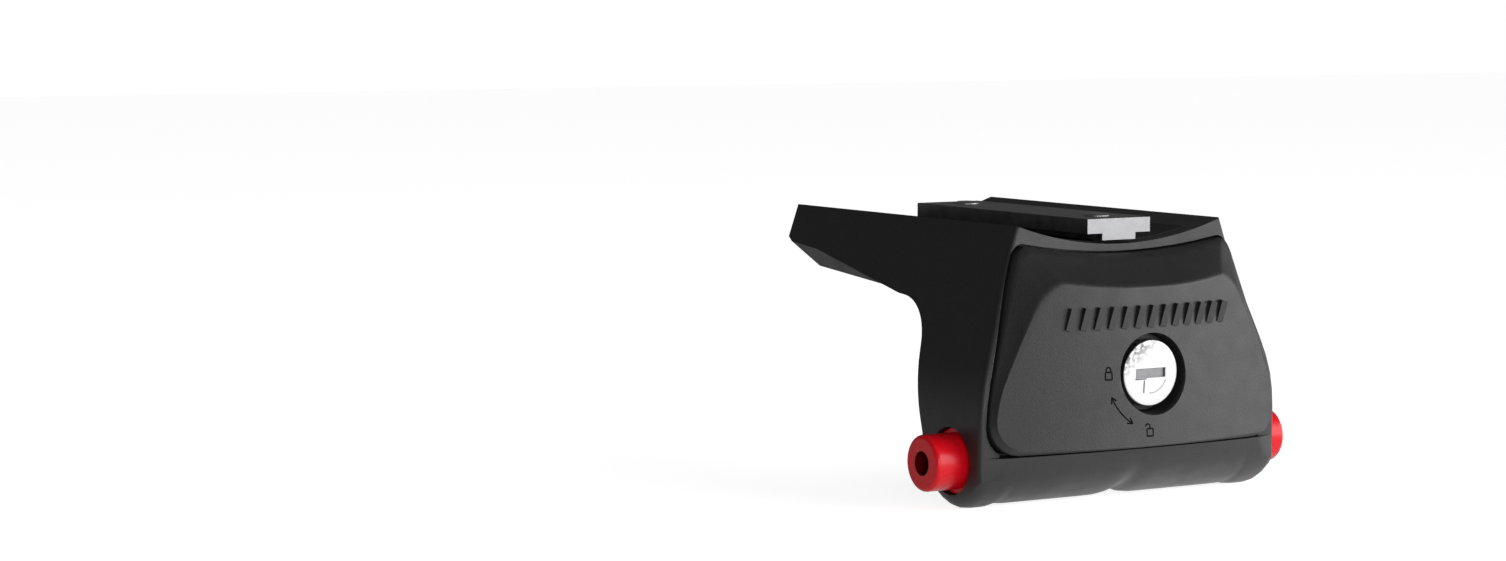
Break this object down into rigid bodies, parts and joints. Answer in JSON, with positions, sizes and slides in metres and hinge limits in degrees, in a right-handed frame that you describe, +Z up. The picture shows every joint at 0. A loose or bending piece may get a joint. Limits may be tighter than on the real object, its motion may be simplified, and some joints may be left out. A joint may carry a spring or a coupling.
{
  "type": "roof bar foot",
  "caption": "Black moulded foot for an aerodynamic roof bar, with a saddle and inboard arm, a lockable crowned cover, and a cross barrel with red pivot plugs.",
  "frame": {"origin": "middle of the pivot axis, which runs through the cross barrel and both plugs", "axes": "+X along the barrel, +Y inboard along the roof bar, +Z up; the cover and its lock face -Y"},
  "size_m": [0.1004, 0.1081, 0.0657],
  "materials": {
    "body_plastic": "fine-grained moulded black",
    "cover_plastic": "fine-grained moulded black",
    "red_plastic": "glossy signal red",
    "bright_nickel": "bright nickel plate, lightly scratched",
    "zinc_steel": "zinc-plated steel",
    "wafer_brass": "stamped brass",
    "pad_rubber": "matt black rubber"
  },
  "bodies": {
    "foot": {"foot_body": "body_plastic", "barrel_cap": "body_plastic", "saddle_pad": "pad_rubber", "pivot_tube": "zinc_steel", "keeper_plate": "zinc_steel", "keeper_screws": "zinc_steel", "inner_washer": "zinc_steel", "outer_washer": "zinc_steel"},
    "cover": {"cover": "cover_plastic", "lock_housing": "zinc_steel", "housing_clip": "zinc_steel"},
    "lock": {"lock_plug": "bright_nickel", "lock_wafers": "wafer_brass", "plug_clip": "zinc_steel", "lock_cam": "zinc_steel", "cam_screw": "zinc_steel"},
    "shutter": {"key_shutter": "zinc_steel"},
    "left_plug": {"left_pivot_plug": "red_plastic"},
    "right_plug": {"right_pivot_plug": "red_plastic"},
    "clamp": {"clamp_plate": "zinc_steel"},
    "inner_bolt": {"inner_clamp_bolt": "zinc_steel"},
    "outer_bolt": {"outer_clamp_bolt": "zinc_steel"}
  },
  "joints": [
    {"name": "cover_off", "type": "slide", "parent": "foot", "child": "cover", "axis": [0, -1, 0], "range_m": [0, 0.036]},
    {"name": "lock_turn", "type": "hinge", "parent": "cover", "child": "lock", "pos_m": [0, 0, 0.0195], "axis": [0, 1, 0], "range_deg": [0, 90]},
    {"name": "shutter_swing", "type": "hinge", "parent": "lock", "child": "shutter", "pos_m": [0, -0.01785, 0.02045], "axis": [1, 0, 0], "range_deg": [0, 80], "stiffness_Nm_per_rad": 0.0004, "springref_deg": -17.19},
    {"name": "left_plug_pull", "type": "slide", "parent": "foot", "child": "left_plug", "axis": [-1, 0, 0], "range_m": [0, 0.03]},
    {"name": "right_plug_pull", "type": "slide", "parent": "foot", "child": "right_plug", "axis": [1, 0, 0], "range_m": [0, 0.03]},
    {"name": "inner_bolt_turn", "type": "hinge", "parent": "foot", "child": "inner_bolt", "pos_m": [0, 0.002, 0], "axis": [0, 0, -1], "range_deg": [0, 720]},
    {"name": "outer_bolt_turn", "type": "hinge", "parent": "foot", "child": "outer_bolt", "pos_m": [0, 0.055, 0], "axis": [0, 0, -1], "range_deg": [0, 720]},
    {"name": "clamp_lift", "type": "slide", "parent": "foot", "child": "clamp", "axis": [0, 0, 1], "range_m": [0, 0.002]}
  ],
  "couplings": [
    {"joint": "inner_bolt_turn", "follows": "clamp_lift", "rad_per_m": 6283.2},
    {"joint": "outer_bolt_turn", "follows": "clamp_lift", "rad_per_m": 6283.2}
  ]
}
